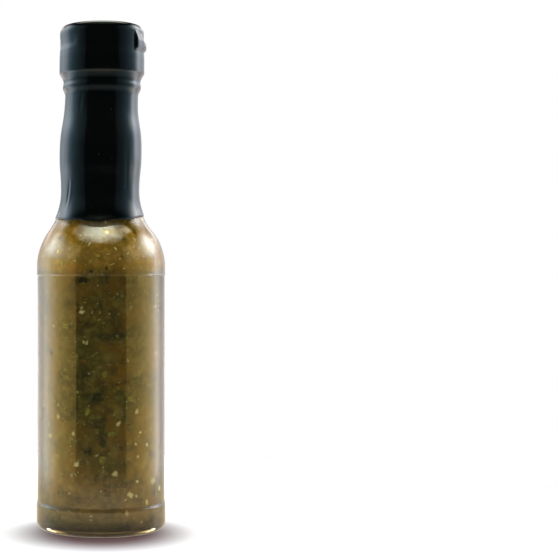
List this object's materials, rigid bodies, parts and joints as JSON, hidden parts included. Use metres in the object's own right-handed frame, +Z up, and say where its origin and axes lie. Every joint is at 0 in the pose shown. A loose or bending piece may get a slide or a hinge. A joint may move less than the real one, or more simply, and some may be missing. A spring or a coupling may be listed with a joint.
{
  "type": "hot sauce bottle",
  "caption": "Long-necked glass bottle filled with green-brown hot sauce, shut by a flip-top cap under a dark shrink capsule.",
  "frame": {"origin": "on the bottle's axis, in the plane that it stands on", "axes": "+Z up along the bottle, -Y towards the front, +X to the front's right"},
  "size_m": [0.0456, 0.0456, 0.177],
  "materials": {
    "glass": "clear, slightly wavy container glass",
    "sauce": "wet, cloudy, with seeds and flecks",
    "cap_plastic": "satin moulded plastic",
    "capsule_film": "glossy shrunk film"
  },
  "bodies": {
    "root": {"glass_bottle": "glass", "sauce": "sauce", "cap": "cap_plastic", "shrink_capsule": "capsule_film"}
  },
  "joints": []
}
